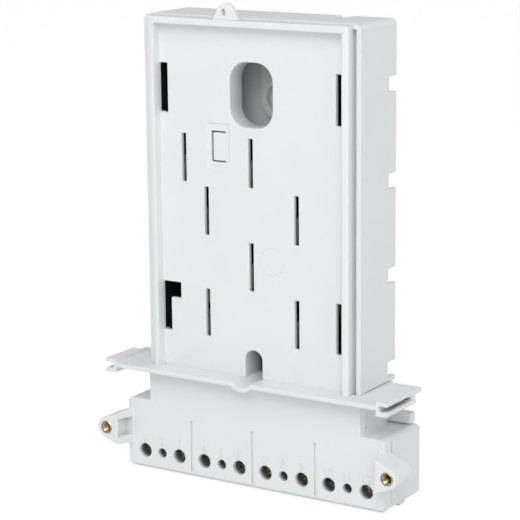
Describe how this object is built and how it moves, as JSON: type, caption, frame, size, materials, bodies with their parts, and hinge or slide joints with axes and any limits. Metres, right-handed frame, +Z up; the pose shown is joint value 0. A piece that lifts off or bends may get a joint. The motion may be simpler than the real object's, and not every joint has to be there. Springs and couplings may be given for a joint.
{
  "type": "meter socket enclosure",
  "caption": "Wall-mounted base for a plug-in electricity meter: rimmed bay with blade slots above, screw terminal block with covered conductors below.",
  "frame": {"origin": "on the wall face, on the centre line, level with the two threaded cover inserts", "axes": "+Z up, +Y into the wall (the front faces -Y), +X to the right seen from the front"},
  "size_m": [0.1514, 0.0403, 0.2092],
  "materials": {
    "housing_plastic": "light grey moulded plastic, fine satin",
    "panel_plastic": "light grey moulded plastic, fine satin",
    "block_plastic": "light grey moulded plastic, fine satin",
    "carrier_plastic": "dark grey glass-filled plastic, matte",
    "jaw_brass": "tin-plated brass, grey",
    "spring_steel": "spring steel strip",
    "busbar_brass": "rolled brass strip",
    "insert_brass": "turned brass",
    "cage_metal": "zinc-plated steel, pale yellow",
    "terminal_screw": "dull bronze, handled",
    "screw_zinc": "zinc-plated steel"
  },
  "bodies": {
    "base": {"rear_housing": "housing_plastic", "carrier_panel": "panel_plastic", "partition_plate": "block_plastic", "terminal_block_front": "block_plastic", "terminal_block_rear": "housing_plastic", "contact_carrier": "carrier_plastic", "contact_jaw_1": "jaw_brass", "contact_jaw_2": "jaw_brass", "contact_jaw_3": "jaw_brass", "contact_jaw_4": "jaw_brass", "contact_jaw_5": "jaw_brass", "contact_jaw_6": "jaw_brass", "contact_jaw_7": "jaw_brass", "jaw_springs": "spring_steel", "busbar_l1_line": "busbar_brass", "busbar_l1_load": "busbar_brass", "busbar_l2_line": "busbar_brass", "busbar_l2_load": "busbar_brass", "busbar_l3_line": "busbar_brass", "busbar_l3_load": "busbar_brass", "busbar_neutral": "busbar_brass", "insert_left": "insert_brass", "insert_right": "insert_brass", "carrier_screws": "screw_zinc", "conductor_screws": "screw_zinc", "block_screws": "screw_zinc"},
    "latch": {"latch_tongue": "panel_plastic"},
    "terminal_screw_1": {"screw_1": "terminal_screw"},
    "terminal_cage_1": {"cage_1": "cage_metal"},
    "terminal_screw_3": {"screw_3": "terminal_screw"},
    "terminal_cage_3": {"cage_3": "cage_metal"},
    "terminal_screw_4": {"screw_4": "terminal_screw"},
    "terminal_cage_4": {"cage_4": "cage_metal"},
    "terminal_screw_6": {"screw_6": "terminal_screw"},
    "terminal_cage_6": {"cage_6": "cage_metal"},
    "terminal_screw_7": {"screw_7": "terminal_screw"},
    "terminal_cage_7": {"cage_7": "cage_metal"},
    "terminal_screw_9": {"screw_9": "terminal_screw"},
    "terminal_cage_9": {"cage_9": "cage_metal"},
    "terminal_screw_10": {"screw_10": "terminal_screw"},
    "terminal_cage_10": {"cage_10": "cage_metal"},
    "terminal_screw_12": {"screw_12": "terminal_screw"},
    "terminal_cage_12": {"cage_12": "cage_metal"},
    "terminal_screw_2": {"screw_2": "screw_zinc"},
    "terminal_cage_2": {"cage_2": "cage_metal"},
    "terminal_screw_5": {"screw_5": "screw_zinc"},
    "terminal_cage_5": {"cage_5": "cage_metal"},
    "terminal_screw_8": {"screw_8": "screw_zinc"},
    "terminal_cage_8": {"cage_8": "cage_metal"},
    "terminal_screw_11": {"screw_11": "screw_zinc"},
    "terminal_cage_11": {"cage_11": "cage_metal"}
  },
  "joints": [
    {"name": "latch_flex", "type": "hinge", "parent": "base", "child": "latch", "pos_m": [-0.0136, -0.0276, 0.129], "axis": [0, 0, -1], "range_deg": [0, 8], "stiffness_Nm_per_rad": 0.02},
    {"name": "turn_screw_1", "type": "hinge", "parent": "base", "child": "terminal_screw_1", "pos_m": [-0.05635, -0.0268, -0.0107], "axis": [0, 1, 0], "range_deg": [0, 1800]},
    {"name": "lift_cage_1", "type": "slide", "parent": "base", "child": "terminal_cage_1", "axis": [0, -1, 0], "range_m": [0, 0.005]},
    {"name": "turn_screw_3", "type": "hinge", "parent": "base", "child": "terminal_screw_3", "pos_m": [-0.03815, -0.0268, -0.0107], "axis": [0, 1, 0], "range_deg": [0, 1800]},
    {"name": "lift_cage_3", "type": "slide", "parent": "base", "child": "terminal_cage_3", "axis": [0, -1, 0], "range_m": [0, 0.005]},
    {"name": "turn_screw_4", "type": "hinge", "parent": "base", "child": "terminal_screw_4", "pos_m": [-0.02485, -0.0268, -0.0107], "axis": [0, 1, 0], "range_deg": [0, 1800]},
    {"name": "lift_cage_4", "type": "slide", "parent": "base", "child": "terminal_cage_4", "axis": [0, -1, 0], "range_m": [0, 0.005]},
    {"name": "turn_screw_6", "type": "hinge", "parent": "base", "child": "terminal_screw_6", "pos_m": [-0.00665, -0.0268, -0.0107], "axis": [0, 1, 0], "range_deg": [0, 1800]},
    {"name": "lift_cage_6", "type": "slide", "parent": "base", "child": "terminal_cage_6", "axis": [0, -1, 0], "range_m": [0, 0.005]},
    {"name": "turn_screw_7", "type": "hinge", "parent": "base", "child": "terminal_screw_7", "pos_m": [0.00665, -0.0268, -0.0107], "axis": [0, 1, 0], "range_deg": [0, 1800]},
    {"name": "lift_cage_7", "type": "slide", "parent": "base", "child": "terminal_cage_7", "axis": [0, -1, 0], "range_m": [0, 0.005]},
    {"name": "turn_screw_9", "type": "hinge", "parent": "base", "child": "terminal_screw_9", "pos_m": [0.02485, -0.0268, -0.0107], "axis": [0, 1, 0], "range_deg": [0, 1800]},
    {"name": "lift_cage_9", "type": "slide", "parent": "base", "child": "terminal_cage_9", "axis": [0, -1, 0], "range_m": [0, 0.005]},
    {"name": "turn_screw_10", "type": "hinge", "parent": "base", "child": "terminal_screw_10", "pos_m": [0.03815, -0.0268, -0.0107], "axis": [0, 1, 0], "range_deg": [0, 1800]},
    {"name": "lift_cage_10", "type": "slide", "parent": "base", "child": "terminal_cage_10", "axis": [0, -1, 0], "range_m": [0, 0.005]},
    {"name": "turn_screw_12", "type": "hinge", "parent": "base", "child": "terminal_screw_12", "pos_m": [0.05635, -0.0268, -0.0107], "axis": [0, 1, 0], "range_deg": [0, 1800]},
    {"name": "lift_cage_12", "type": "slide", "parent": "base", "child": "terminal_cage_12", "axis": [0, -1, 0], "range_m": [0, 0.005]},
    {"name": "turn_screw_2", "type": "hinge", "parent": "base", "child": "terminal_screw_2", "pos_m": [-0.04725, -0.0268, -0.0107], "axis": [0, 1, 0], "range_deg": [0, 1543]},
    {"name": "lift_cage_2", "type": "slide", "parent": "base", "child": "terminal_cage_2", "axis": [0, -1, 0], "range_m": [0, 0.003]},
    {"name": "turn_screw_5", "type": "hinge", "parent": "base", "child": "terminal_screw_5", "pos_m": [-0.01575, -0.0268, -0.0107], "axis": [0, 1, 0], "range_deg": [0, 1543]},
    {"name": "lift_cage_5", "type": "slide", "parent": "base", "child": "terminal_cage_5", "axis": [0, -1, 0], "range_m": [0, 0.003]},
    {"name": "turn_screw_8", "type": "hinge", "parent": "base", "child": "terminal_screw_8", "pos_m": [0.01575, -0.0268, -0.0107], "axis": [0, 1, 0], "range_deg": [0, 1543]},
    {"name": "lift_cage_8", "type": "slide", "parent": "base", "child": "terminal_cage_8", "axis": [0, -1, 0], "range_m": [0, 0.003]},
    {"name": "turn_screw_11", "type": "hinge", "parent": "base", "child": "terminal_screw_11", "pos_m": [0.04725, -0.0268, -0.0107], "axis": [0, 1, 0], "range_deg": [0, 1543]},
    {"name": "lift_cage_11", "type": "slide", "parent": "base", "child": "terminal_cage_11", "axis": [0, -1, 0], "range_m": [0, 0.003]}
  ],
  "couplings": [
    {"joint": "turn_screw_1", "follows": "lift_cage_1", "rad_per_m": 6283},
    {"joint": "turn_screw_3", "follows": "lift_cage_3", "rad_per_m": 6283},
    {"joint": "turn_screw_4", "follows": "lift_cage_4", "rad_per_m": 6283},
    {"joint": "turn_screw_6", "follows": "lift_cage_6", "rad_per_m": 6283},
    {"joint": "turn_screw_7", "follows": "lift_cage_7", "rad_per_m": 6283},
    {"joint": "turn_screw_9", "follows": "lift_cage_9", "rad_per_m": 6283},
    {"joint": "turn_screw_10", "follows": "lift_cage_10", "rad_per_m": 6283},
    {"joint": "turn_screw_12", "follows": "lift_cage_12", "rad_per_m": 6283},
    {"joint": "turn_screw_2", "follows": "lift_cage_2", "rad_per_m": 8976},
    {"joint": "turn_screw_5", "follows": "lift_cage_5", "rad_per_m": 8976},
    {"joint": "turn_screw_8", "follows": "lift_cage_8", "rad_per_m": 8976},
    {"joint": "turn_screw_11", "follows": "lift_cage_11", "rad_per_m": 8976}
  ]
}
